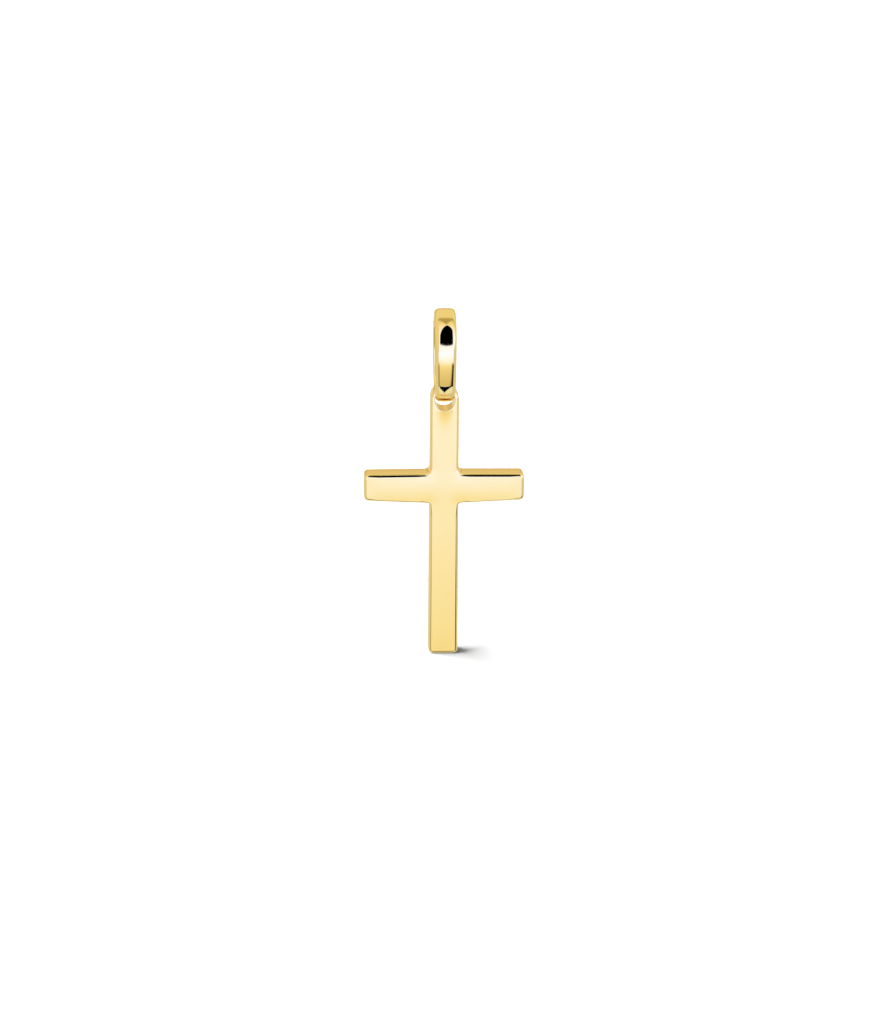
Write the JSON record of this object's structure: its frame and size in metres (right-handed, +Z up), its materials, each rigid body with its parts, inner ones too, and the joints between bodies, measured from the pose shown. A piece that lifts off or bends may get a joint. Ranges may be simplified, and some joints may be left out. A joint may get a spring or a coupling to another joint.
{
  "type": "cross pendant with bail",
  "caption": "Small plain polished gold cross pendant, its bored rounded top hanging on an oval band bail that a neck chain passes through.",
  "frame": {"origin": "chain seat: the middle of the bail's inner face at its very top, where the pendant rests on a neck chain", "axes": "+Z up, +X to the right seen from the front, along the arms and along the chain, and the cross faces -Y"},
  "size_m": [0.01, 0.0038, 0.0221],
  "materials": {
    "bail_gold": "mirror-polished yellow gold",
    "cross_gold": "mirror-polished yellow gold"
  },
  "bodies": {
    "bail": {"bail": "bail_gold"},
    "cross": {"cross": "cross_gold"}
  },
  "joints": [
    {"name": "cross_swing", "type": "hinge", "parent": "bail", "child": "cross", "pos_m": [0, 0, -0.00518], "axis": [0, 1, 0], "range_deg": [-120, 120]}
  ]
}
